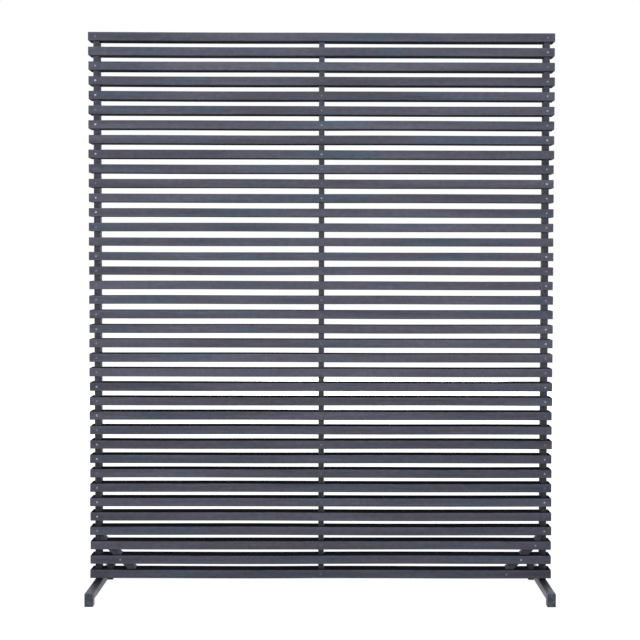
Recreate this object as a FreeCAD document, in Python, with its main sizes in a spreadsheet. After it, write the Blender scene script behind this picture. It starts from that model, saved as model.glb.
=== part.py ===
import FreeCAD, Part
import os
import Sketcher

# Garden privacy screen: a ladder of level slats housed over three upright posts, two foot
# beams on blocks that run front to back under the side posts, and in each lower corner a
# slanting brace and a short upright stub.
# Frame: Z up, floor at z = 0, X along the slats, front of the screen towards -Y.
# The origin is on the floor, midway between the feet and midway along them.

sizes = {
    "slat_length": 1500,
    "slat_height": 27,
    "slat_depth": 45,
    "slat_pitch": 47,
    "slat_count": 38,
    "post_width": 18,
    "post_depth": 33,
    "post_inset": 14,        # slat end to the outer face of a side post
    "foot_length": 310,
    "foot_width": 27,
    "foot_height": 42,       # beam and sole together
    "foot_rise": 5,          # top of a foot to the underside of the lowest slat
    "sole_length": 21,       # block under each end of a foot beam
    "sole_height": 20,
    "brace_width": 18,
    "brace_angle": 45,       # slope of a brace, degrees from level
    "brace_gap": 2,          # upper tip of a brace to the slat above it
    "braced_slats": 3,       # lowest slats, which a brace crosses
    "stub_gap": 21,          # inner face of a side post to the stub beside it
    "stub_length": 55,
    "stub_drop": 9,          # lower end of a stub below the lowest slat
    "housing_play": 0.25,    # each side of a post or brace in its housing
    "screw_length": 35,
    "screw_head": 6.5,
    "screw_shank": 3.5,
    "screw_sink": 0.5,       # head below the face of the wood
    "screw_play": 0.1,       # round a screw, at its head and its shank
    "screw_point": 4,
    "drive_width": 3,
    "drive_depth": 1.5,
    "foot_screw_length": 78, # long screws up through a foot into its post
    "foot_screw_head": 9,
    "foot_screw_shank": 5,
    "foot_screw_spacing": 16,
}

doc = FreeCAD.newDocument("privacy_screen")
sheet = doc.addObject("Spreadsheet::Sheet", "Sizes")
for row, (alias, size) in enumerate(sizes.items(), start=1):
    sheet.set(f"A{row}", alias)
    sheet.set(f"B{row}", str(size))
    sheet.setAlias(f"B{row}", alias)
doc.recompute()

# Places that several pieces share, as expressions over the sheet.
rear = "(Sizes.post_depth / 2)"
post_front = "(-Sizes.post_depth / 2)"
slat_front = f"({rear} - Sizes.slat_depth)"
stack_bottom = "(Sizes.foot_height + Sizes.foot_rise)"
stack_height = "(Sizes.slat_pitch * (Sizes.slat_count - 1) + Sizes.slat_height)"
first_screw = f"({stack_bottom} + Sizes.slat_height / 2)"
post_outer = "(Sizes.slat_length / 2 - Sizes.post_inset)"
post_centre = f"({post_outer} - Sizes.post_width / 2)"
post_inner = f"({post_outer} - Sizes.post_width)"
foot_centre = f"({post_outer} - Sizes.foot_width / 2)"
stub_centre = f"({post_inner} - Sizes.stub_gap - Sizes.post_width / 2)"
pilot_depth = ("(Sizes.screw_length + Sizes.screw_sink + Sizes.screw_play"
               " - (Sizes.slat_depth - Sizes.post_depth))")
brace_slope = "tan(Sizes.brace_angle * 1deg)"
brace_half = "(Sizes.brace_width / 2 / cos(Sizes.brace_angle * 1deg))"
play_half = "(Sizes.housing_play / cos(Sizes.brace_angle * 1deg))"

# Height above the lowest slat's underside where a brace's centre line meets its post.
brace_top = f"(Sizes.braced_slats * Sizes.slat_pitch - Sizes.brace_gap - {brace_half})"


def value(expression):
    return float(sheet.evalExpression(expression))


def add_body(name):
    body = doc.addObject("PartDesign::Body", name)
    body.Label = name
    return body


def place(body, x="0", y="0", z="0"):
    body.setExpression(".Placement.Base.x", x)
    body.setExpression(".Placement.Base.y", y)
    body.setExpression(".Placement.Base.z", z)


def add_sketch(body, name, role, offset=None):
    """A sketch on one of the body's own origin planes, moved along its normal."""
    sketch = body.newObject("Sketcher::SketchObject", name)
    plane = next(item for item in body.Origin.OriginFeatures if item.Role == role)
    sketch.AttachmentSupport = [(plane, "")]
    sketch.MapMode = "FlatFace"
    if offset:
        sketch.setExpression(".AttachmentOffset.Base.z", offset)
    return sketch


def pin_point(sketch, geometry, point, across, up):
    """Fixes one point of a sketch at two expressions, each measured from the origin."""
    for kind, axis, expression in (("DistanceX", -2, across), ("DistanceY", -1, up)):
        if expression == "0":
            sketch.addConstraint(Sketcher.Constraint("PointOnObject", geometry, point, axis))
            continue
        number = sketch.addConstraint(
            Sketcher.Constraint(kind, -1, 1, geometry, point, value(expression)))
        sketch.setExpression(f"Constraints[{number}]", expression)


def add_polygon(sketch, corners):
    """A closed outline whose corners are pairs of expressions."""
    points = [FreeCAD.Vector(value(across), value(up), 0) for across, up in corners]
    first = sketch.GeometryCount
    count = len(corners)
    for index in range(count):
        line = Part.LineSegment(points[index], points[(index + 1) % count])
        sketch.addGeometry(line, False)
    for index in range(count):
        following = first + (index + 1) % count
        sketch.addConstraint(Sketcher.Constraint("Coincident", first + index, 2, following, 1))
    for index, (across, up) in enumerate(corners):
        pin_point(sketch, first + index, 1, across, up)


def add_rectangle(sketch, left, right, low, high):
    add_polygon(sketch, [(left, low), (right, low), (right, high), (left, high)])


def add_circle(sketch, across, up, diameter):
    centre = FreeCAD.Vector(value(across), value(up), 0)
    circle = sketch.addGeometry(
        Part.Circle(centre, FreeCAD.Vector(0, 0, 1), value(diameter) / 2), False)
    pin_point(sketch, circle, 3, across, up)
    number = sketch.addConstraint(Sketcher.Constraint("Diameter", circle, value(diameter)))
    sketch.setExpression(f"Constraints[{number}]", diameter)


def add_pad(body, sketch, length, midplane=False):
    pad = body.newObject("PartDesign::Pad", "pad")
    pad.Profile = sketch
    pad.Midplane = midplane
    pad.setExpression("Length", length)
    return pad


def add_pocket(body, sketch, depth, reverse=False):
    """A pocket that is proved to take wood away."""
    doc.recompute()
    before = body.Shape.Volume
    pocket = body.newObject("PartDesign::Pocket", "pocket")
    pocket.Profile = sketch
    pocket.Reversed = reverse
    pocket.setExpression("Length", depth)
    doc.recompute()
    if body.Shape.Volume > before - 1:
        raise RuntimeError(f"{body.Label}: the pocket on {sketch.Name} cuts nothing")
    return pocket


def add_screw_holes(body, places, plane, offset, head, shank, reverse=False):
    """Countersunk holes right through, with play round the screw and its sunk head."""
    sketch = add_sketch(body, "screw_places", plane, offset)
    for across, up in places:
        add_circle(sketch, across, up, shank)
    doc.recompute()
    before = body.Shape.Volume
    hole = body.newObject("PartDesign::Hole", "screw_holes")
    hole.Profile = sketch
    doc.recompute()
    hole.DepthType = "ThroughAll"
    hole.Reversed = reverse
    hole.HoleCutType = "Countersink"
    hole.HoleCutCountersinkAngle = 90
    hole.DrillPoint = "Flat"
    hole.setExpression("Diameter", f"{shank} + 2 * Sizes.screw_play")
    hole.setExpression("HoleCutDiameter", f"{head} + 2 * Sizes.screw_sink + 2 * Sizes.screw_play")
    doc.recompute()
    if body.Shape.Volume > before - 1:
        raise RuntimeError(f"{body.Label}: the screw holes cut nothing")


def add_row(body, feature, axis, spacing, count):
    """Repeats a feature in a line along an axis of the body or a line of a sketch."""
    pattern = body.newObject("PartDesign::LinearPattern", "row")
    pattern.Originals = [feature]
    pattern.Direction = axis
    pattern.Mode = "Spacing"
    pattern.setExpression("Offset", spacing)
    pattern.setExpression("Occurrences", count)
    body.Tip = pattern
    doc.recompute()


def body_axis(body, role):
    return (next(item for item in body.Origin.OriginFeatures if item.Role == role), [""])


def brace_edges(side, drop, grow, low_end):
    """A brace's two long edges, from the post's inner face to a level cut at low_end.

    side is 1 on the right and -1 on the left, and heights are measured from drop above
    the lowest slat's underside. grow widens the outline for a housing.
    """
    edges = []
    for half in (f"({brace_half} + {grow})", f"(-{brace_half} - {grow})"):
        height = f"({brace_top} - {drop} + {half})"
        run = f"({height} - {low_end}) / {brace_slope}"
        edges.append([(f"{side} * {post_inner}", height),
                      (f"{side} * ({post_inner} - {run})", low_end)])
    return edges


def brace_screw(side, height):
    """Where the brace's centre line stands at a height above the lowest slat's underside."""
    run = f"({brace_top} - {height}) / {brace_slope}"
    return f"{side} * ({post_inner} - {run})"


def add_slat(index):
    """One slat, housed at the back over the posts and, low down, the braces and stubs."""
    body = add_body(f"slat_{index + 1:02d}")
    place(body, z=f"{stack_bottom} + {index} * Sizes.slat_pitch")
    outline = add_sketch(body, "outline", "XY_Plane")
    add_rectangle(outline, "-Sizes.slat_length / 2", "Sizes.slat_length / 2", slat_front, rear)
    add_pad(body, outline, "Sizes.slat_height")

    housings = add_sketch(body, "post_housings", "XY_Plane")
    half = "(Sizes.post_width / 2 + Sizes.housing_play)"
    centres = [f"(-{post_centre})", "0", post_centre]
    if index == 0:
        centres += [f"(-{stub_centre})", stub_centre]
    for centre in centres:
        add_rectangle(housings, f"{centre} - {half}", f"{centre} + {half}", post_front, rear)
    add_pocket(body, housings, "Sizes.slat_height", reverse=True)

    middle = "Sizes.slat_height / 2"
    places = [("0", middle)]
    if index < sizes["braced_slats"]:
        drop = f"{index} * Sizes.slat_pitch"
        braces = add_sketch(body, "brace_housings", "XZ_Plane", f"-{rear}")
        for side in (-1, 1):
            upper, lower = brace_edges(side, drop, play_half, "-Sizes.slat_height")
            add_polygon(braces, upper + lower[::-1])
            places.append((brace_screw(side, f"({drop} + {middle})"), middle))
        add_pocket(body, braces, "Sizes.post_depth", reverse=True)
    else:
        places += [(f"-{post_centre}", middle), (post_centre, middle)]
    add_screw_holes(body, places, "XZ_Plane", f"-{slat_front}",
                    "Sizes.screw_head", "Sizes.screw_shank")
    return body


def add_slat_copy(master, index):
    """A slat cut the same as another, higher up the stack."""
    body = add_body(f"slat_{index + 1:02d}")
    copy = doc.addObject("PartDesign::FeatureBase", "copy")
    body.Group = [copy]
    copy.BaseFeature = master
    body.Tip = copy
    place(body, z=f"{stack_bottom} + {index} * Sizes.slat_pitch")
    return body


def add_post(name, centre, bottom, first, count, on_foot):
    """An upright, with a pilot hole behind every slat that is screwed to it.

    on_foot adds the two holes up its lower end for the screws of a foot.
    """
    body = add_body(name)
    place(body, x=centre, z=bottom)
    section = add_sketch(body, "section", "XY_Plane")
    add_rectangle(section, "-Sizes.post_width / 2", "Sizes.post_width / 2", post_front, rear)
    add_pad(body, section, f"{stack_bottom} + {stack_height} - {bottom}")
    pilot = add_sketch(body, "pilot", "XZ_Plane", f"-{post_front}")
    add_circle(pilot, "0", f"{first_screw} + {first} * Sizes.slat_pitch - {bottom}",
               "Sizes.screw_shank + 2 * Sizes.screw_play")
    pocket = add_pocket(body, pilot, pilot_depth)
    add_row(body, pocket, body_axis(body, "Z_Axis"), "Sizes.slat_pitch", count)
    if on_foot:
        ends = add_sketch(body, "end_holes", "XY_Plane")
        for side in (-1, 1):
            add_circle(ends, "0", f"{side} * Sizes.foot_screw_spacing / 2",
                       "Sizes.foot_screw_shank + 2 * Sizes.screw_play")
        add_pocket(body, ends, "Sizes.sole_height + Sizes.screw_sink + Sizes.foot_screw_length"
                               " + Sizes.screw_play - Sizes.foot_height", reverse=True)
    return body


def add_foot_beam(name, side):
    """The bar of a foot, front to back, its outer face level with the post's."""
    body = add_body(name)
    place(body, x=f"{side} * {foot_centre}")
    profile = add_sketch(body, "profile", "YZ_Plane")
    end = "Sizes.foot_length / 2"
    add_rectangle(profile, f"-{end}", end, "Sizes.sole_height", "Sizes.foot_height")
    add_pad(body, profile, "Sizes.foot_width", midplane=True)
    under_post = f"{side} * (Sizes.foot_width - Sizes.post_width) / 2"
    places = [(under_post, f"{end_side} * Sizes.foot_screw_spacing / 2") for end_side in (-1, 1)]
    add_screw_holes(body, places, "XY_Plane", "Sizes.sole_height",
                    "Sizes.foot_screw_head", "Sizes.foot_screw_shank", reverse=True)
    return body


def add_sole(name, side, end_side):
    """The block under one end of a foot beam, which stands on the floor."""
    body = add_body(name)
    place(body, x=f"{side} * {foot_centre}",
          y=f"{end_side} * (Sizes.foot_length - Sizes.sole_length) / 2")
    outline = add_sketch(body, "outline", "XY_Plane")
    add_rectangle(outline, "-Sizes.foot_width / 2", "Sizes.foot_width / 2",
                  "-Sizes.sole_length / 2", "Sizes.sole_length / 2")
    add_pad(body, outline, "Sizes.sole_height")
    return body


def add_brace(name, side):
    """A slanting bar, cut upright against its post and level at its lower end."""
    body = add_body(name)
    place(body, z=stack_bottom)
    outline = add_sketch(body, "outline", "XZ_Plane")
    upper, lower = brace_edges(side, "0", "0", "0")
    add_polygon(outline, upper + lower[::-1])
    add_pad(body, outline, "Sizes.post_depth", midplane=True)
    pilots = add_sketch(body, "pilots", "XZ_Plane", f"-{post_front}")
    for index in range(sizes["braced_slats"]):
        height = f"(Sizes.slat_height / 2 + {index} * Sizes.slat_pitch)"
        add_circle(pilots, brace_screw(side, height), height,
                   "Sizes.screw_shank + 2 * Sizes.screw_play")
    add_pocket(body, pilots, pilot_depth)
    return body


def add_stub(name, side):
    """A short upright of the posts' section, which passes behind the lowest slat only."""
    body = add_body(name)
    place(body, x=f"{side} * {stub_centre}", z=f"{stack_bottom} - Sizes.stub_drop")
    section = add_sketch(body, "section", "XY_Plane")
    add_rectangle(section, "-Sizes.post_width / 2", "Sizes.post_width / 2", post_front, rear)
    add_pad(body, section, "Sizes.stub_length")
    return body


def add_screw(body, plane, along, head, shank, length):
    """A countersunk screw from a half outline, turned about the way it is driven."""
    outline = add_sketch(body, "outline", plane)
    head_radius = f"{head} / 2"
    shank_radius = f"{shank} / 2"
    profile = [
        ("0", "Sizes.drive_depth"), ("Sizes.drive_width / 2", "0"), (head_radius, "0"),
        (shank_radius, f"{head_radius} - {shank_radius}"),
        (shank_radius, f"{length} - Sizes.screw_point"), ("0", length)]
    if along == "H_Axis":
        profile = [(down, out) for out, down in profile]
    add_polygon(outline, profile)
    turned = body.newObject("PartDesign::Revolution", "turned")
    turned.Profile = outline
    turned.ReferenceAxis = (outline, [along])
    turned.Angle = 360
    doc.recompute()
    return turned


def add_post_screws(name, centre, first, count):
    """The column of screws that holds the slats to one post."""
    body = add_body(name)
    place(body, x=centre, y=f"{slat_front} + Sizes.screw_sink",
          z=f"{first_screw} + {first} * Sizes.slat_pitch")
    screw = add_screw(body, "YZ_Plane", "H_Axis",
                      "Sizes.screw_head", "Sizes.screw_shank", "Sizes.screw_length")
    add_row(body, screw, body_axis(body, "Z_Axis"), "Sizes.slat_pitch", count)
    return body


def add_brace_screws(name, side):
    """The screws through the lowest slats into a brace, stepped along its centre line."""
    body = add_body(name)
    place(body, x=brace_screw(side, "(Sizes.slat_height / 2)"),
          y=f"{slat_front} + Sizes.screw_sink", z=first_screw)
    screw = add_screw(body, "YZ_Plane", "H_Axis",
                      "Sizes.screw_head", "Sizes.screw_shank", "Sizes.screw_length")
    slope = add_sketch(body, "slope", "XZ_Plane")
    slope.addGeometry(Part.LineSegment(
        FreeCAD.Vector(0, 0, 0), FreeCAD.Vector(side, 1, 0)), False)
    pin_point(slope, 0, 1, "0", "0")
    pin_point(slope, 0, 2, f"{side} * Sizes.slat_pitch / {brace_slope}", "Sizes.slat_pitch")
    doc.recompute()
    add_row(body, screw, (slope, ["Edge1"]),
            "Sizes.slat_pitch / sin(Sizes.brace_angle * 1deg)", str(sizes["braced_slats"]))
    return body


def add_foot_screws(name, side):
    """The two long screws that hold a foot to the lower end of its post."""
    body = add_body(name)
    place(body, x=f"{side} * {post_centre}", y="-Sizes.foot_screw_spacing / 2",
          z="Sizes.sole_height + Sizes.screw_sink")
    screw = add_screw(body, "XZ_Plane", "V_Axis",
                      "Sizes.foot_screw_head", "Sizes.foot_screw_shank", "Sizes.foot_screw_length")
    add_row(body, screw, body_axis(body, "Y_Axis"), "Sizes.foot_screw_spacing", "2")
    return body


pieces = []
braced = sizes["braced_slats"]
for number in range(braced + 1):
    pieces.append(add_slat(number))
for number in range(braced + 1, sizes["slat_count"]):
    pieces.append(add_slat_copy(pieces[braced], number))

all_slats = "Sizes.slat_count"
upper_slats = "(Sizes.slat_count - Sizes.braced_slats)"
foot_top = "Sizes.foot_height"
for label, side in (("left", -1), ("right", 1)):
    centre = f"{side} * {post_centre}"
    pieces.append(add_foot_beam(f"{label}_foot_beam", side))
    pieces.append(add_sole(f"{label}_front_sole", side, -1))
    pieces.append(add_sole(f"{label}_rear_sole", side, 1))
    pieces.append(add_post(f"{label}_post", centre, foot_top, braced, upper_slats, True))
    pieces.append(add_brace(f"{label}_brace", side))
    pieces.append(add_stub(f"{label}_stub", side))
    pieces.append(add_post_screws(f"{label}_post_screws", centre, braced, upper_slats))
    pieces.append(add_brace_screws(f"{label}_brace_screws", side))
    pieces.append(add_foot_screws(f"{label}_foot_screws", side))
pieces.append(add_post("middle_post", "0", stack_bottom, 0, all_slats, False))
pieces.append(add_post_screws("middle_post_screws", "0", 0, all_slats))

doc.recompute()
for item in doc.Objects:
    if {"Invalid", "Error"} & set(item.State):
        raise RuntimeError(f"{item.Name} did not build: {item.State}")

os.makedirs("parts", exist_ok=True)
for piece in pieces:
    shape = piece.Shape
    if shape.isNull() or not shape.isValid():
        raise RuntimeError(f"{piece.Label} has no valid shape")
    shape.exportStep(f"parts/{piece.Label}.step")
    box = shape.BoundBox
    print(f"{piece.Label}: {len(shape.Solids)} solids, {shape.Volume:.0f} mm3,"
          f" {box.XLength:.1f} x {box.YLength:.1f} x {box.ZLength:.1f}")
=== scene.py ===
import math

import bmesh
import bpy
import numpy as np
from mathutils import Matrix, Vector


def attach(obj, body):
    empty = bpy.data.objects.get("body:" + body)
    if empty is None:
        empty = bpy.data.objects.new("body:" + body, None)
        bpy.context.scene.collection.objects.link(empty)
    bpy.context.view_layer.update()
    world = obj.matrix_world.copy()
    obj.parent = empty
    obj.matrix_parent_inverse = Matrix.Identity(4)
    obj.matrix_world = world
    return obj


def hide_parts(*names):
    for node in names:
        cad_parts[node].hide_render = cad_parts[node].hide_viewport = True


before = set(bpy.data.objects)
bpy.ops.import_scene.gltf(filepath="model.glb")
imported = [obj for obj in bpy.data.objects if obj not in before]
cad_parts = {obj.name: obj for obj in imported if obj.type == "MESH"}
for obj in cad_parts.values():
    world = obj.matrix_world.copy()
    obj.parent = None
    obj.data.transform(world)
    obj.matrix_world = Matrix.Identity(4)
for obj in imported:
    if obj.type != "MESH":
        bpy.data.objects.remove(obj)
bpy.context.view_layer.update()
mm = 0.001
rng = np.random.default_rng(2747)
scene = bpy.context.scene
print("frame loaded,", len(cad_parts), "nodes")


def toLinear(hexText):
    # linear = (s + 0.055) / 1.055 to the power 2.4, or s / 12.92 near black
    s = np.array([int(hexText[k:k + 2], 16) for k in (1, 3, 5)]) / 255
    linear = np.where(s <= 0.04045, s / 12.92, ((s + 0.055) / 1.055) ** 2.4)
    return (*linear.tolist(), 1.0)


def addNode(tree, kind, links=None, **settings):
    # a socket given as another node's output is joined, anything else is set on it
    node = tree.nodes.new(kind)
    for key, value in settings.items():
        setattr(node, key, value)
    for socket, source in (links or {}).items():
        if isinstance(source, bpy.types.NodeSocket):
            tree.links.new(source, node.inputs[socket])
        else:
            node.inputs[socket].default_value = source
    return node


stainLook = {
    "blueTone": "#4B5565",     # where the stain lies thick
    "violetTone": "#555462",   # where the wood's own red shows through
    "bareTone": "#51474A",     # thin spots and knots
    "endTone": "#262930",      # end grain drinks the stain
    "wornTone": "#666A76",     # arrises rubbed lighter
    # each noise: how many per metre along the grain and across it, its detail and roughness
    "patterns": {
        "patch": (2.6, 24.0, 5.0, 0.75),     # about 380 mm long, its own on each batten
        "thinSpot": (11.0, 38.0, 3.0, 0.6),  # about 90 by 26 mm
        "streak": (7.0, 330.0, 3.0, 0.65),   # 3 mm across: real ones are 1 mm, too fine to show
        "batten": (1.7, 21.0, 3.0, 0.55),    # about 590 by 48 mm, so battens differ
        "mottle": (48.0, 70.0, 2.0, 0.6),    # about 21 by 14 mm
        "rubbed": (30.0, 60.0, 3.0, 0.6),    # about 33 mm along an arris
        "fibre": (24.0, 900.0, 3.0, 0.7),    # ridges about 1 mm across
    },
    "knotCells": (8.0, 26.0, 26.0),   # about 125 by 38 mm, and one in five holds a knot
    "ringScale": 52.0,                # growth rings 6 mm apart: real ones are too fine to show
    # the span of each pattern that counts, and the shares that its two ends give
    "spans": {
        "patch": (0.40, 0.50, 0.0, 1.0),
        "thinSpot": (0.62, 0.78, 0.0, 0.55),
        "knotNear": (0.06, 0.20, 1.0, 0.0),
        "knotChosen": (0.80, 0.84, 0.0, 0.6),
        "streak": (0.30, 0.70, 0.86, 1.12),
        "batten": (0.3, 0.7, 0.68, 1.30),
        "mottle": (0.3, 0.7, 0.86, 1.14),
        "rings": (0.0, 1.0, 0.1, 0.6),
        "rubbed": (0.42, 0.62, 0.0, 0.5),
        "fibre": (0.3, 0.7, -0.07, 0.07),
    },
    # how strongly, and by how many metres at most, streaks and fibres stand up
    "bump": 0.55, "bumpDepth": 0.0006,
}


def stainedSpruce(name, turn, tone=1.0, roughness=0.68, sheen=0.25, paintedShade=None):
    # sawn spruce under a thin blue-grey opaque stain: satin, patchy along the batten,
    # streaked by the grain, darker on cut ends, lighter on rubbed arrises
    look = stainLook
    material = bpy.data.materials.new(name)
    material.use_nodes = True
    tree = material.node_tree
    shader = tree.nodes["Principled BSDF"]
    coords = addNode(tree, "ShaderNodeTexCoord").outputs["Object"]
    grain = addNode(tree, "ShaderNodeMapping", {"Vector": coords, "Rotation": turn}).outputs[0]

    source = {}
    for label, (along, across, detail, coarse) in look["patterns"].items():
        place = addNode(tree, "ShaderNodeVectorMath", {0: grain, 1: (along, across, across)},
                        operation="MULTIPLY").outputs[0]
        source[label] = addNode(tree, "ShaderNodeTexNoise", {"Vector": place, "Scale": 1.0,
                                "Detail": detail, "Roughness": coarse}).outputs["Fac"]

    # knots: soft ovals of about 33 by 10 mm in a few cells of a stretched cell pattern
    place = addNode(tree, "ShaderNodeVectorMath", {0: grain, 1: look["knotCells"]},
                    operation="MULTIPLY").outputs[0]
    cells = addNode(tree, "ShaderNodeTexVoronoi", {"Vector": place, "Scale": 1.0})
    source["knotNear"] = cells.outputs["Distance"]
    source["knotChosen"] = addNode(tree, "ShaderNodeSeparateColor",
                                   {0: cells.outputs["Color"]}).outputs[0]

    # growth rings as arcs about the grain's line through the frame's origin, so nearly straight
    place = addNode(tree, "ShaderNodeVectorMath", {0: grain, 1: (0.0, 1.0, 1.0)},
                    operation="MULTIPLY").outputs[0]
    source["rings"] = addNode(tree, "ShaderNodeTexWave", {"Vector": place,
                              "Scale": look["ringScale"], "Distortion": 1.2, "Detail": 2.0,
                              "Detail Scale": 1.5}, wave_type="RINGS",
                              rings_direction="X").outputs["Fac"]

    spans = dict(look["spans"])
    low, high, dark, light = spans["batten"]
    spans["batten"] = (low, high, dark * tone, light * tone)
    shades = ["batten", "mottle"]
    # painted shade and light, multiplied into the colour along one axis
    if paintedShade:   # darker or paler with the distance from the frame's origin along one axis
        axis, *spans["paintedShade"] = paintedShade
        place = addNode(tree, "ShaderNodeSeparateXYZ", {0: coords}).outputs[axis]
        source["paintedShade"] = addNode(tree, "ShaderNodeMath", {0: place},
                                 operation="ABSOLUTE").outputs[0]
        shades.append("paintedShade")
    share = {}
    for label, span in spans.items():
        limits = dict(zip(("From Min", "From Max", "To Min", "To Max"), span))
        share[label] = addNode(tree, "ShaderNodeMapRange",
                               {"Value": source[label], **limits}).outputs[0]

    knot = addNode(tree, "ShaderNodeMath", {0: share["knotNear"], 1: share["knotChosen"]},
                   operation="MULTIPLY").outputs[0]
    colour = toLinear(look["blueTone"])
    for factor, tint in ((share["patch"], "violetTone"), (share["thinSpot"], "bareTone"),
                         (knot, "bareTone")):
        colour = addNode(tree, "ShaderNodeMix", {0: factor, 6: colour, 7: toLinear(look[tint])},
                         data_type="RGBA").outputs[2]
    shade = share["streak"]
    for label in shades:
        shade = addNode(tree, "ShaderNodeMath", {0: shade, 1: share[label]},
                        operation="MULTIPLY").outputs[0]
    grey = addNode(tree, "ShaderNodeCombineColor", {0: shade, 1: shade, 2: shade}).outputs[0]
    colour = addNode(tree, "ShaderNodeMix", {0: 1.0, 6: colour, 7: grey}, data_type="RGBA",
                     blend_type="MULTIPLY").outputs[2]

    ends = addNode(tree, "ShaderNodeMix", {0: share["rings"], 6: toLinear(look["endTone"]),
                   7: toLinear(look["blueTone"])}, data_type="RGBA").outputs[2]
    cutEnd = addNode(tree, "ShaderNodeAttribute", attribute_name="cutEnd").outputs["Fac"]
    wear = addNode(tree, "ShaderNodeAttribute", attribute_name="edgeWear").outputs["Fac"]
    rubbed = addNode(tree, "ShaderNodeMath", {0: share["rubbed"], 1: wear},
                     operation="MULTIPLY").outputs[0]
    for factor, tint in ((cutEnd, ends), (rubbed, toLinear(look["wornTone"]))):
        colour = addNode(tree, "ShaderNodeMix", {0: factor, 6: colour, 7: tint},
                         data_type="RGBA").outputs[2]
    tree.links.new(colour, shader.inputs["Base Color"])

    rough = addNode(tree, "ShaderNodeMath", {0: share["fibre"], 1: roughness},
                    operation="ADD").outputs[0]
    tree.links.new(rough, shader.inputs["Roughness"])
    height = addNode(tree, "ShaderNodeMath", {0: source["streak"], 1: source["fibre"]},
                     operation="ADD").outputs[0]
    bump = addNode(tree, "ShaderNodeBump", {"Height": height, "Strength": look["bump"],
                   "Distance": look["bumpDepth"]})
    tree.links.new(bump.outputs[0], shader.inputs["Normal"])
    shader.inputs["IOR"].default_value = 1.5
    shader.inputs["Specular IOR Level"].default_value = sheen
    return material


quarter = math.pi / 2
# painted shade: axis, near and far distance in metres from the frame's origin, shade at each
lowSlatPaintedShade = (2, 0.25, 0.85, 0.87, 1.0)    # painted shade: the lowest battens darker towards the bottom
postPaintedShade = (2, 0.1, 1.1, 0.4, 1.2)       # painted shade: uprights darker near the ground, painted light paler at the top
footPaintedShadeAndLight = (1, 0.06, 0.15, 0.25, 2.7)    # painted shade on the feet under the screen, painted light towards their ends
slatFinish = stainedSpruce("stainedSpruceSlats", (0, 0, 0), paintedShade=lowSlatPaintedShade)
# the faces between the slats are left rough from the saw and look matt; the upper faces
# get a much darker copy of the stain, painted shade where the slat above keeps the light off
sawnFinish = stainedSpruce("stainedSpruceSawnFaces", (0, 0, 0), 0.85, 0.95, 0.0)
upperFacePaintedShade = stainedSpruce("stainedSpruceUpperFacesPaintedShade", (0, 0, 0), 0.24, 0.95, 0.0)
# the posts' darker copy of the stain is painted shade, for where they sit back between the slats
postFinish = stainedSpruce("stainedSprucePosts", (0, quarter, 0), 0.82, 0.75, 0.1, postPaintedShade)
footFinish = stainedSpruce("stainedSpruceFeet", (0, 0, -quarter), 0.72, 0.42, 0.28, footPaintedShadeAndLight)
braceFinish = {side: stainedSpruce(f"stainedSpruceBrace{label}", (0, turn, 0), 0.9, 0.75, 0.1)
               for side, label, turn in ((1, "Right", quarter / 2), (-1, "Left", quarter * 1.5))}


steelLook = {
    "darkTone": "#7F8592", "brightTone": "#A9AFBC",   # the plating's clouds, dark to bright
    "stainedTone": "#4A4F5A",       # a head that the stain has run over
    "clouds": 700.0,                # per metre, about 1.4 mm each
    "roughness": (0.34, 0.52),
}


def platedSteel(name):
    # bright zinc plating on steel: a soft bluish metal shine, a little cloudy, and dulled on
    # the heads that the stain has run over
    look = steelLook
    material = bpy.data.materials.new(name)
    material.use_nodes = True
    tree = material.node_tree
    shader = tree.nodes["Principled BSDF"]
    coords = addNode(tree, "ShaderNodeTexCoord").outputs["Object"]
    cloud = addNode(tree, "ShaderNodeTexNoise", {"Vector": coords,
                    "Scale": look["clouds"], "Detail": 3.0}).outputs["Fac"]
    bright = addNode(tree, "ShaderNodeMix", {0: cloud, 6: toLinear(look["darkTone"]),
                     7: toLinear(look["brightTone"])}, data_type="RGBA").outputs[2]
    dull = addNode(tree, "ShaderNodeAttribute", attribute_name="dulled").outputs["Fac"]
    tone = addNode(tree, "ShaderNodeMix", {0: dull, 6: bright,
                   7: toLinear(look["stainedTone"])}, data_type="RGBA").outputs[2]
    tree.links.new(tone, shader.inputs["Base Color"])
    least, most = look["roughness"]
    rough = addNode(tree, "ShaderNodeMapRange", {"Value": cloud, "To Min": least,
                    "To Max": most}).outputs[0]
    tree.links.new(rough, shader.inputs["Roughness"])
    shader.inputs["Metallic"].default_value = 1.0
    return material


screwFinish = platedSteel("zincPlatedSteel")
print("finishes made")


def eased(low, high, radius, extra=(), steps=3):
    # a rectangle from low to high with each corner turned by a quarter circle:
    # corner centre + radius * (cos a, sin a), a running a quarter turn in equal steps.
    # extra gives points on the four sides, by their x or y. Wear is 1 on the arrises, 0.3
    # where they begin and 0 on the flats
    (x0, y0), (x1, y1) = low, high
    radius = np.broadcast_to(radius, 4)
    corners = [(x0, y0, 1, 1, 2), (x1, y0, -1, 1, 3), (x1, y1, -1, -1, 0), (x0, y1, 1, -1, 1)]
    points, worn = [], []
    sides = [lambda s: (s, y0), lambda s: (x1, s), lambda s: (s, y1), lambda s: (x0, s)]
    for k, (cx, cy, sx, sy, start) in enumerate(corners):
        angle = quarter * (start + np.linspace(0, 1, steps + 1))
        r = radius[k]
        arc = np.stack([cx + sx * r + r * np.cos(angle), cy + sy * r + r * np.sin(angle)], 1)
        points += arc.tolist()
        worn += [0.3] + [1.0] * (steps - 1) + [0.3]
        for s in (extra[k] if extra else ()):
            points.append(sides[k](s))
            worn.append(0.0)
    return np.array(points), np.array(worn)


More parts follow.
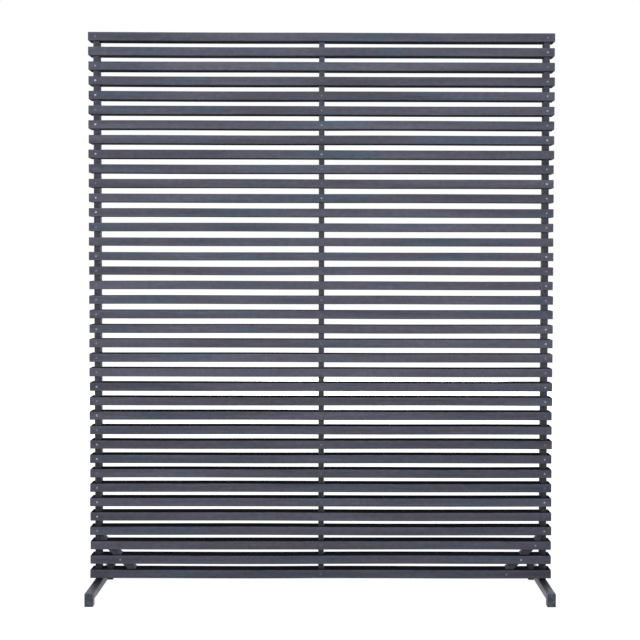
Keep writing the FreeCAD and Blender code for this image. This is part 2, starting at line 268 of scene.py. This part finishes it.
def settle(name, node, mesh, materials, merge=False):
    # faces turned outwards, doubles merged where asked, then the piece is linked, given its
    # materials, hung on the root body, and the CAD node that it stands in for is hidden
    built = bmesh.new()
    built.from_mesh(mesh)
    if merge:
        bmesh.ops.remove_doubles(built, verts=built.verts, dist=1e-6)
        bmesh.ops.dissolve_degenerate(built, edges=built.edges, dist=1e-6)
    bmesh.ops.recalc_face_normals(built, faces=built.faces)
    built.to_mesh(mesh)
    built.free()
    piece = bpy.data.objects.new(name, mesh)
    scene.collection.objects.link(piece)
    for material in materials:
        mesh.materials.append(material)
    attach(piece, "root")
    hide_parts(node)


def skin(name, grid, wear, material, node, holes=(), inward=None, holeRings=(), rough=None):
    # quads join point (i, j) to its neighbours along the piece and round its closed profile.
    # Each hole takes the place of a block of 4 by 4 quads: rings at centre + r (cos a, sin a)
    # go from the block's edge into the piece, and the innermost ring is closed by one face.
    # rough gives each side of the profile its finish: 0 planed, 1 sawn, 2 an upper face with
    # painted shade
    lines, around = grid.shape[:2]
    index = np.arange(lines * around).reshape(lines, around)
    nextOne = np.roll(index, -1, axis=1)
    quads = np.stack([index[:-1], nextOne[:-1], nextOne[1:], index[1:]], -1)
    keep = np.ones(quads.shape[:2], bool)
    smooth = (wear > 0) & (np.roll(wear, -1) > 0)
    smooth = np.broadcast_to(smooth, quads.shape[:2])
    points = [grid.reshape(-1, 3)]
    worn = [np.broadcast_to(wear, (lines, around)).ravel()]
    sides = np.broadcast_to(np.zeros(around) if rough is None else rough, quads.shape[:2])
    faces, flags = [], []
    step = np.array([(0, 0), (1, 0), (2, 0), (3, 0), (4, 0), (4, 1), (4, 2), (4, 3), (4, 4),
                     (3, 4), (2, 4), (1, 4), (0, 4), (0, 3), (0, 2), (0, 1)])  # round a block
    count = lines * around
    for i, j in holes:
        keep[i:i + 4, j:j + 4] = False
        centre = grid[i + 2, j + 2]
        last = index[i + step[:, 0], j + step[:, 1]]
        outward = grid[i + step[:, 0], j + step[:, 1]] - centre
        outward /= np.linalg.norm(outward, axis=1)[:, None]
        for radius, depth in holeRings:
            points.append(centre + outward * radius + np.array(inward) * depth)
            worn.append(np.zeros(len(step)))
            ring = np.arange(count, count + len(step))
            faces += np.stack([last, np.roll(last, -1), np.roll(ring, -1), ring], 1).tolist()
            flags += [False] * len(step)
            last = ring
            count += len(step)
        faces.append(last.tolist())
        flags.append(False)
    faces = quads[keep].tolist() + faces + [index[0][::-1].tolist(), index[-1].tolist()]
    flags = smooth[keep].tolist() + flags + [False, False]
    cut = np.zeros(count)
    cut[index[0]] = cut[index[-1]] = 1.0

    mesh = bpy.data.meshes.new(name)
    mesh.from_pydata((np.concatenate(points) * mm).tolist(), [], faces)
    mesh.polygons.foreach_set("use_smooth", flags)
    kinds = np.zeros(len(faces), np.int32)
    kinds[:int(keep.sum())] = sides[keep]
    mesh.polygons.foreach_set("material_index", kinds)
    for label, values in (("edgeWear", np.concatenate(worn)), ("cutEnd", cut)):
        mesh.attributes.new(label, "FLOAT", "POINT").data.foreach_set("value", values)
    materials = [material] if rough is None else [material, sawnFinish, upperFacePaintedShade]
    settle(name, node, mesh, materials, merge=True)


upright = {
    "wide": 18.0, "deep": 33.0, "arris": 1.0, "top": 1813.0,
    "step": 45.0,              # spacing of the lines up the piece
    "easeLong": 0.6, "easeIn": 1.0,   # the eased ends: how long, and how much narrower
    "sideBottom": 42.0,        # the side posts stand on the foot beams
    "middleBottom": 47.0,      # the middle post ends with the lowest slat
    "stubCentre": 688.0, "stubBottom": 38.0, "stubTop": 93.0,
}

slat = {
    "count": 38, "length": 1500.0, "front": -28.5, "back": 16.5, "height": 27.0,
    "pitch": 47.0, "bottom": 47.0, "arris": 1.5, "arrisVary": (0.7, 1.2),
    "housing": -16.5,          # how far forward the posts are let in
    "postCentre": 727.0, "postHalf": 9.25,
    "braceInner": 578.65, "braceOuter": 604.81,  # brace housing at the lowest slat's underside
    "braceScrew": 605.23, "braced": 3,
    "stub": (678.75, 697.25),  # housing of a stub, in the lowest slat only
    "stubLine": 650.0,         # a plain line between the brace's and the stub's housings
    "plainLines": 29,          # from the middle post's housing to the side post's
    "clear": 6.0,              # how far plain lines keep off a brace's housing
    "backLines": (8.0, 13.0),  # heights of extra lines along the back
    "holeBlock": 2.7,          # spacing of the lines round a screw
    "holeRings": ((3.45, 0), (3.3, 0.5), (2.0, 1.8)),   # radius and depth of a countersink
    "planed": 0.9,             # sides up to this far behind the front are planed
    "upper": 0.5,              # and those that start this near the top are the upper face
    "easeLong": 0.7, "easeIn": 1.2,   # the eased ends: how long, and how much narrower
    "bowUp": 0.8, "bowOut": 0.7, "bowHalves": 0.35, "endVary": 1.6,
}


def makeSlat(k):
    # the eased section carried along x, each line of points at x = start + slope * height,
    # with y cut to the housing's floor where a post or a brace is let in, and
    # bow = a sin(pi x / 727) + b sin(2 pi x / 727), which is nothing at the three posts
    s = slat
    level = s["bottom"] + k * s["pitch"]
    across = s["holeBlock"] * np.arange(-2, 3)
    tall = s["height"]
    right = s["postCentre"] - s["postHalf"]
    # height at which the brace's housing runs into the post's, on the highest braced slat
    meet = right - s["braceOuter"] - (s["braced"] - 1) * s["pitch"]
    section, wear = eased((s["front"], 0), (s["back"], tall),
                          s["arris"] * rng.uniform(*s["arrisVary"]),
                          ([s["housing"]], [*s["backLines"], meet - 0.01, meet + 0.01],
                           [s["housing"]], (tall / 2 - across).tolist()))
    y, h = section.T
    # each row is a line's start, its slope and whether it is let in
    rows = [(v, 0, True) for v in (*across[2:], s["postHalf"])] + [(s["postHalf"], 0, False)]
    plain = np.linspace(s["postHalf"], right, s["plainLines"])[1:-1]
    inner = s["braceInner"] + k * s["pitch"]
    outer = s["braceOuter"] + k * s["pitch"]
    braced = k < s["braced"]
    if braced:
        centre = s["braceScrew"] - tall / 2 + k * s["pitch"]
        rows += [(v, 0, False) for v in plain[plain < inner - s["clear"]]]
        rows += [(inner, 1, False), (inner, 1, True)]
        rows += [(centre + v, 1, True) for v in across]
        rows += [(outer, 1, True), (outer, 1, False)]
        beyond = outer + tall + s["clear"]
        if k == 0:
            near, beyond = s["stub"]
            rows += [(s["stubLine"], 0, False), (near, 0, False), (near, 0, True),
                     (beyond, 0, True), (beyond, 0, False)]
        rows += [(v, 0, False) for v in plain[plain > beyond]]
    else:
        rows += [(v, 0, False) for v in plain]
    rows += [(right, 0, False), (right, 0, True)]
    if not braced:
        rows += [(s["postCentre"] + v, 0, True) for v in across]
    edge = right + 2 * s["postHalf"]
    rows += [(edge, 0, True), (edge, 0, False)]
    start, slope, housed = np.array(rows, float).T
    x = start[:, None] + slope[:, None] * h
    merged = x >= right - 1e-6             # where the brace's housing runs into the post's
    x = np.where(slope[:, None] > 0, np.minimum(x, right), x)
    housed = np.broadcast_to(housed[:, None] > 0, x.shape).copy()
    if k == s["braced"] - 1:
        atPost = start == right
        isLand = ((slope > 0) & (start > inner + 1)) | atPost
        land = outer + h >= right - 1e-6
        housed |= isLand[:, None] & land[None, :] & (merged | atPost[:, None])
    ends = s["length"] / 2 - (rng.uniform(0, s["endVary"], 2) if k else np.zeros(2))
    body = np.concatenate([-x[:0:-1], x])
    let = np.concatenate([housed[:0:-1], housed])

    # the two cut ends: the full section a little way in, then the section drawn in
    middle = np.array([(s["front"] + s["back"]) / 2, tall / 2])
    size = np.array([s["back"] - s["front"], tall])
    drawn = middle + (section - middle) * (1 - s["easeIn"] / size)
    full = ends - s["easeLong"]
    allX = np.concatenate([[np.full_like(h, -ends[0]), np.full_like(h, -full[0])], body,
                           [np.full_like(h, full[1]), np.full_like(h, ends[1])]])
    allY = np.concatenate([[drawn[:, 0], y], np.where(let, np.minimum(y, s["housing"]), y),
                           [y, drawn[:, 0]]])
    allH = np.concatenate([[drawn[:, 1]], np.broadcast_to(h, (len(body) + 2, len(h))),
                           [drawn[:, 1]]])
    wave = math.pi * allX / s["postCentre"]
    side = (allX > 0).astype(float)
    lift, push = rng.uniform(-1, 1, (2, 3))
    if k == s["count"] - 1:
        lift = np.abs(lift) * (1, -1, 0)   # the top slat only sags, inside the model's height
    bow = [(a * (1 - side) + b * side) * np.sin(wave) + s["bowHalves"] * c * np.sin(2 * wave)
           for a, b, c in (lift, push)]
    allZ = np.minimum(level + allH + s["bowUp"] * bow[0], upright["top"])
    allY = allY + s["bowOut"] * bow[1]
    grid = np.stack([allX, allY, allZ], -1)

    behind = y > s["front"] + s["planed"]
    behind = behind & np.roll(behind, -1)
    upper = 2 if k < s["count"] - 1 else 1   # the top slat's open top face gets no painted shade
    rough = np.where(behind, np.where(h > tall - s["upper"], upper, 1), 0)
    front = len(h) - len(across)           # the first of the lines round a screw
    screwAt = s["braceScrew"] + k * s["pitch"] if braced else s["postCentre"]
    holes = [(int(np.argmin(np.abs(allX[:, front + 2] - v * screwAt))) - 2, front)
             for v in (0, -1, 1)]
    skin(f"slat{k + 1:02d}Batten", grid, wear, slatFinish, f"slat_{k + 1:02d}", holes=holes,
         inward=(0, 1, 0), holeRings=s["holeRings"], rough=rough)


for k in range(slat["count"]):
    makeSlat(k)
print("slats made:", slat["count"])


def makeUpright(name, node, centre, bottom, top):
    # the eased section carried up z; the first and last lines are drawn in
    p = upright
    size = np.array([p["wide"], p["deep"]])
    section, wear = eased(-size / 2, size / 2, p["arris"])
    count = 1 + math.ceil((top - bottom) / p["step"])
    between = np.linspace(bottom + p["easeLong"], top - p["easeLong"], count)
    z = np.concatenate([[bottom], between, [top]])
    shrink = np.ones((len(z), 2))
    shrink[[0, -1]] = 1 - p["easeIn"] / size
    grid = np.empty((len(z), len(section), 3))
    grid[..., :2] = section * shrink[:, None]
    grid[..., 0] += centre
    grid[..., 2] = z[:, None]
    skin(name, grid, wear, postFinish, node)


for label, side in (("left", -1), ("middle", 0), ("right", 1)):
    bottom = upright["sideBottom"] if side else upright["middleBottom"]
    makeUpright(f"{label}PostUpright", f"{label}_post", side * slat["postCentre"], bottom,
                upright["top"])
for label, side in (("left", -1), ("right", 1)):
    makeUpright(f"{label}StubUpright", f"{label}_stub", side * upright["stubCentre"],
                upright["stubBottom"], upright["stubTop"])
print("posts and stubs made")


brace = {
    "wide": 18.0, "deep": 33.0, "arris": 1.0, "postFace": 718.0,
    "centreHeight": 173.27,    # where the brace's middle line meets the post
    "low": 47.0, "lines": 8,
    "easeShare": 0.004, "easeTo": 0.97,   # the eased ends: share of the length, and narrowed to
}


def makeBrace(label, side):
    # point = P + t (1, 1) / sqrt 2 + w (-1, 1) / sqrt 2 in the x, z plane, t running between
    # the level cut at the bottom and the upright cut against the post
    b = brace
    section, wear = eased((-b["deep"] / 2, -b["wide"] / 2), (b["deep"] / 2, b["wide"] / 2),
                          b["arris"])
    y, w = section.T
    root = math.sqrt(2)
    first = (b["low"] - b["centreHeight"]) * root - w      # the level cut, and t = w at the post
    between = np.linspace(b["easeShare"], 1 - b["easeShare"], b["lines"])
    part = np.concatenate([[0], between, [1]])[:, None]
    t = first + part * (w - first)
    shrink = np.ones((len(part), 1))
    shrink[[0, -1]] = b["easeTo"]
    grid = np.empty((*t.shape, 3))
    grid[..., 0] = side * (b["postFace"] + (t - w) / root)
    grid[..., 1] = y * shrink
    grid[..., 2] = b["centreHeight"] + (t + w) / root
    skin(f"{label}BraceStrut", grid, wear, braceFinish[side], f"{label}_brace")


foot = {
    "wide": 27.0, "long": 310.0, "under": 20.0, "top": 42.0, "outer": 736.0,
    "soleLong": 21.0, "arris": 1.6, "joint": 0.35, "screwSpacing": 16.0,
    "lines": 13,               # spread evenly along the beam
    "holeReach": 5.5, "plainFrom": 20.0,   # lines stay this near a screw, or past here
    "holeRings": ((4.7, 0), (4.6, 0.5), (2.6, 2.4)),   # radius and depth of a countersink
    "easeLong": 0.8, "easeTo": 0.955,      # the eased ends: how long, and narrowed to
    "soleLines": (7.0, 14.0), "soleEase": 0.5,
    "soleGround": 0.4, "soleJoint": 0.2,   # the soles' drawn-in ends keep off floor and beam
}


def makeFoot(label, side):
    # the eased x, z section carried along y; holes for the two screws that go up into the post
    f = foot
    x0, x1 = sorted((side * (f["outer"] - f["wide"]), side * f["outer"]))
    across = slat["holeBlock"] * np.arange(-2, 3)
    half = f["long"] / 2
    screwAt = f["screwSpacing"] / 2
    section, wear = eased((x0, f["under"]), (x1, f["top"]),
                          (f["joint"], f["joint"], f["arris"], f["arris"]),
                          ((side * slat["postCentre"] + across).tolist(), [], [], []))
    even = np.linspace(f["easeLong"] - half, half - f["easeLong"], f["lines"])
    y = np.unique(np.round(np.concatenate([even, across - screwAt, across + screwAt]), 3))
    y = y[(np.abs(np.abs(y) - screwAt) < f["holeReach"]) | (np.abs(y) > f["plainFrom"])]
    y = np.concatenate([[-half], y, [half]])
    middle = np.array([(x0 + x1) / 2, (f["under"] + f["top"]) / 2])
    shrink = np.ones((len(y), 1, 1))
    shrink[[0, -1]] = f["easeTo"]
    ring = middle + (section - middle) * shrink
    grid = np.stack([ring[..., 0], np.broadcast_to(y[:, None], ring.shape[:2]), ring[..., 1]], -1)
    holes = [(int(np.argmin(np.abs(y - v * screwAt))) - 2, 4) for v in (-1, 1)]
    skin(f"{label}FootBeam", grid, wear, footFinish, f"{label}_foot_beam", holes=holes,
         inward=(0, 0, 1), holeRings=f["holeRings"])

    section, wear = eased((x0, 0), (x1, f["under"]),
                          (f["arris"], f["arris"], f["joint"], f["joint"]))
    middle = np.array([(x0 + x1) / 2, f["under"] / 2])
    along = np.array([0, f["easeLong"], *f["soleLines"], f["soleLong"] - f["soleEase"],
                      f["soleLong"]])
    shrink = np.ones((len(along), 1, 1))
    shrink[[0, -1]] = f["easeTo"]
    ring = middle + (section - middle) * shrink
    ring[[0, -1], :, 1] = np.clip(ring[[0, -1], :, 1], f["soleGround"],
                                  f["under"] - f["soleJoint"])
    for place, sign in (("front", -1), ("rear", 1)):
        y = sign * half - sign * along
        grid = np.stack([ring[..., 0], np.broadcast_to(y[:, None], ring.shape[:2]),
                         ring[..., 1]], -1)
        skin(f"{label}{place.capitalize()}SoleBlock", grid, wear, footFinish,
             f"{label}_{place}_sole")


for label, side in (("left", -1), ("right", 1)):
    makeBrace(label, side)
    makeFoot(label, side)
print("braces and feet made")


screw = {
    "head": 6.5, "shank": 3.5, "long": 35.0, "sink": 0.5, "sides": 12,
    "footHead": 9.0, "footShank": 5.0, "footLong": 78.0,
    "driveEnd": 0.02, "driveDeep": 1.3,     # the drive closes nearly to a point
    # rings of the head: radius as a share of the head, depth, and how deep the six lobes are
    "headRings": ((0.26, 0.05, 0.35), (0.44, 0.0, 0.0), (0.5, 0.12, 0.0)),
    "pointLong": 4.0, "pointShare": 0.2,
    "dulled": 0.45, "middleDulled": 0.92,   # how far the stain has run over the heads
    "dulledVary": 0.4, "dulledLeast": 0.1,  # and how much that differs between them
}


def makeScrews(name, node, heads, axis, sizes, dulled=screw["dulled"]):
    # each ring is centre + depth * axis + r (1 + lobe cos 6a) (cos a, sin a), from the bottom of
    # the six-lobed drive out over the countersunk head and down the shank to the point
    c = screw
    head, shank, length = sizes
    rings = np.array([(share * head, depth, lobe) for share, depth, lobe in c["headRings"]])
    rings = np.concatenate([[(c["driveEnd"], c["driveDeep"], 0)], rings,
                            [(shank / 2, (head - shank) / 2, 0),
                             (shank / 2, length - c["pointLong"], 0),
                             (shank / 2 * c["pointShare"], length, 0)]])
    r, depth, lobe = rings.T[..., None]
    a = np.arange(c["sides"]) * 2 * math.pi / c["sides"]
    radius = r * (1 + lobe * np.cos(6 * a))
    u = np.array((1, 0, 0), float)
    v = np.cross(axis, u)
    one = (radius[..., None] * (np.cos(a)[:, None] * u + np.sin(a)[:, None] * v)
           + depth[..., None] * np.array(axis))
    grids = np.array(heads)[:, None, None, :] + one
    count, lines, around = grids.shape[:3]
    index = np.arange(count * lines * around).reshape(count, lines, around)
    nextOne = np.roll(index, -1, axis=2)
    quads = np.stack([index[:, :-1], nextOne[:, :-1], nextOne[:, 1:], index[:, 1:]], -1)
    faces = quads.reshape(-1, 4).tolist() + index[:, 0].tolist() + index[:, -1].tolist()
    mesh = bpy.data.meshes.new(name)
    mesh.from_pydata((grids.reshape(-1, 3) * mm).tolist(), [], faces)
    spread = c["dulledVary"] * (1 - dulled) + c["dulledLeast"]
    covered = np.clip(rng.normal(dulled, spread, count), 0.0, 1.0)
    mesh.attributes.new("dulled", "FLOAT", "POINT").data.foreach_set(
        "value", np.repeat(covered, lines * around))
    settle(name, node, mesh, [screwFinish])


faceY = slat["front"] + screw["sink"]
level = slat["bottom"] + slat["height"] / 2 + slat["pitch"] * np.arange(slat["count"])
small = (screw["head"], screw["shank"], screw["long"])
large = (screw["footHead"], screw["footShank"], screw["footLong"])
for label, side in (("left", -1), ("middle", 0), ("right", 1)):
    rows = level[slat["braced"]:] if side else level
    spots = [(side * slat["postCentre"], faceY, z) for z in rows]
    makeScrews(f"{label}PostScrewRow", f"{label}_post_screws", spots, (0, 1, 0), small,
               screw["dulled"] if side else screw["middleDulled"])
for label, side in (("left", -1), ("right", 1)):
    spots = [(side * (slat["braceScrew"] + slat["pitch"] * k), faceY, level[k])
             for k in range(slat["braced"])]
    makeScrews(f"{label}BraceScrewSet", f"{label}_brace_screws", spots, (0, 1, 0), small)
    spots = [(side * slat["postCentre"], v * foot["screwSpacing"] / 2,
              foot["under"] + screw["sink"]) for v in (-1, 1)]
    makeScrews(f"{label}FootScrewPair", f"{label}_foot_screws", spots, (0, 0, 1), large)
print("screws made")


studio = {
    "floor": "#DCDCDC", "floorHalf": 40.0, "ambient": 0.19,
    "glowFrom": 1.2, "glowTo": 4.0, "glowNear": 0.8, "glowFar": 0.92,
    "lamps": {   # watts, size, place, aimed at
        "upperSoftbox": (31.5, 1.6, (-0.7, -2.8, 1.8), (0, 0, 1.1)),
        "frontSoftbox": (63.0, 2.4, (0.5, -5.2, 1.5), (0, 0, 1.1)),
        "overheadSoftbox": (16.0, 1.2, (0.0, -0.7, 3.4), (0, -0.2, 0)),
        "rearSoftbox": (150.0, 2.4, (0.6, 5.2, 1.0), (0, 0, 0.9)),
        "leftSoftbox": (58.0, 2.0, (-5.0, 0.4, 1.1), (0, 0, 0.9)),
        "rightSoftbox": (58.0, 2.0, (5.0, 0.4, 1.1), (0, 0, 0.9)),
    },
}


def seenDirectly(tree):
    # 1 for camera, glossy and transmitted rays, which see the white surroundings, otherwise 0
    path = addNode(tree, "ShaderNodeLightPath")
    seen = addNode(tree, "ShaderNodeMath", {0: path.outputs["Is Camera Ray"],
                   1: path.outputs["Is Glossy Ray"]}, operation="ADD").outputs[0]
    return addNode(tree, "ShaderNodeMath", {0: seen, 1: path.outputs["Is Transmission Ray"]},
                   operation="ADD", use_clamp=True).outputs[0]


def makeStage():
    # a level floor far wider than the view, white to the camera and to mirror-like surfaces,
    # and still shaded where the screen keeps the light off it
    half = studio["floorHalf"]
    mesh = bpy.data.meshes.new("studioFloor")
    mesh.from_pydata([(-half, -half, 0), (half, -half, 0), (half, half, 0), (-half, half, 0)],
                     [], [(0, 1, 2, 3)])
    floor = bpy.data.objects.new("studioFloor", mesh)
    scene.collection.objects.link(floor)
    material = bpy.data.materials.new("paleStudioFloor")
    material.use_nodes = True
    tree = material.node_tree
    shader = tree.nodes["Principled BSDF"]
    shader.inputs["Base Color"].default_value = toLinear(studio["floor"])
    shader.inputs["Roughness"].default_value = 0.9
    shader.inputs["Specular IOR Level"].default_value = 0.0
    # the camera's share of white grows outwards as the lamps' light on the floor falls off
    place = addNode(tree, "ShaderNodeTexCoord").outputs["Object"]
    far = addNode(tree, "ShaderNodeVectorMath", {0: place}, operation="LENGTH").outputs["Value"]
    share = addNode(tree, "ShaderNodeMapRange", {"Value": far, "From Min": studio["glowFrom"],
                    "From Max": studio["glowTo"], "To Min": studio["glowNear"],
                    "To Max": studio["glowFar"]}).outputs[0]
    glow = addNode(tree, "ShaderNodeEmission", {"Color": (1, 1, 1, 1), "Strength": share})
    lit = addNode(tree, "ShaderNodeAddShader", {0: shader.outputs[0], 1: glow.outputs[0]})
    both = addNode(tree, "ShaderNodeMixShader", {0: seenDirectly(tree), 1: shader.outputs[0],
                   2: lit.outputs[0]})
    tree.links.new(both.outputs[0], tree.nodes["Material Output"].inputs["Surface"])
    mesh.materials.append(material)


def makeWorld():
    # white behind the object for camera, glossy and transmitted rays, a soft grey for the rest
    world = bpy.data.worlds.new("studioWorld")
    scene.world = world
    world.use_nodes = True
    tree = world.node_tree
    tree.nodes.clear()
    soft = addNode(tree, "ShaderNodeBackground", {"Color": (1, 1, 1, 1),
                   "Strength": studio["ambient"]})
    white = addNode(tree, "ShaderNodeBackground", {"Color": (1, 1, 1, 1), "Strength": 1.0})
    both = addNode(tree, "ShaderNodeMixShader", {0: seenDirectly(tree), 1: soft.outputs[0],
                   2: white.outputs[0]})
    output = addNode(tree, "ShaderNodeOutputWorld")
    tree.links.new(both.outputs[0], output.inputs["Surface"])


def addLamp(name, energy, size, at, aim):
    data = bpy.data.lights.new(name, "AREA")
    data.shape, data.size, data.energy = "SQUARE", size, energy
    lamp = bpy.data.objects.new(name, data)
    scene.collection.objects.link(lamp)
    lamp.location = at
    lamp.rotation_euler = (Vector(aim) - Vector(at)).to_track_quat("-Z", "Y").to_euler()


makeStage()
makeWorld()
for name, (watts, size, at, aim) in studio["lamps"].items():
    addLamp(name, watts, size, at, aim)

view = {
    "at": (31.4, -3030.8, 1094.8), "down": 0.0253, "yaw": 0.0042, "roll": -0.0022,
    "focal": 930, "shift": (-15, -40), "frame": 640,   # in the photo's pixels
    "sensor": 36.0,
}


def makeCamera():
    # right, up and forward directions from the yaw, the downward tilt and the roll
    v = view
    sinDown, cosDown = math.sin(v["down"]), math.cos(v["down"])
    sinYaw, cosYaw = math.sin(v["yaw"]), math.cos(v["yaw"])
    flat = Vector((cosYaw, -sinYaw, 0))
    forward = Vector((sinYaw * cosDown, cosYaw * cosDown, -sinDown))
    above = Vector((sinYaw * sinDown, cosYaw * sinDown, cosDown))
    sinRoll, cosRoll = math.sin(v["roll"]), math.cos(v["roll"])
    right = flat * cosRoll - above * sinRoll
    up = flat * sinRoll + above * cosRoll
    data = bpy.data.cameras.new("photoCamera")
    data.lens = v["focal"] * v["sensor"] / v["frame"]
    data.sensor_width, data.sensor_fit = v["sensor"], "HORIZONTAL"
    data.shift_x, data.shift_y = (s / v["frame"] for s in v["shift"])
    camera = bpy.data.objects.new("photoCamera", data)
    scene.collection.objects.link(camera)
    matrix = Matrix.Identity(4)
    for column, axis in enumerate((right, up, -forward)):
        for row in range(3):
            matrix[row][column] = axis[row]
    matrix.translation = Vector(v["at"]) * mm
    camera.matrix_world = matrix
    scene.camera = camera


makeCamera()
bpy.context.scene.camera = scene.camera
scene.view_settings.view_transform = "Standard"
print("stage, lamps and camera set")

bpy.context.view_layer.update()
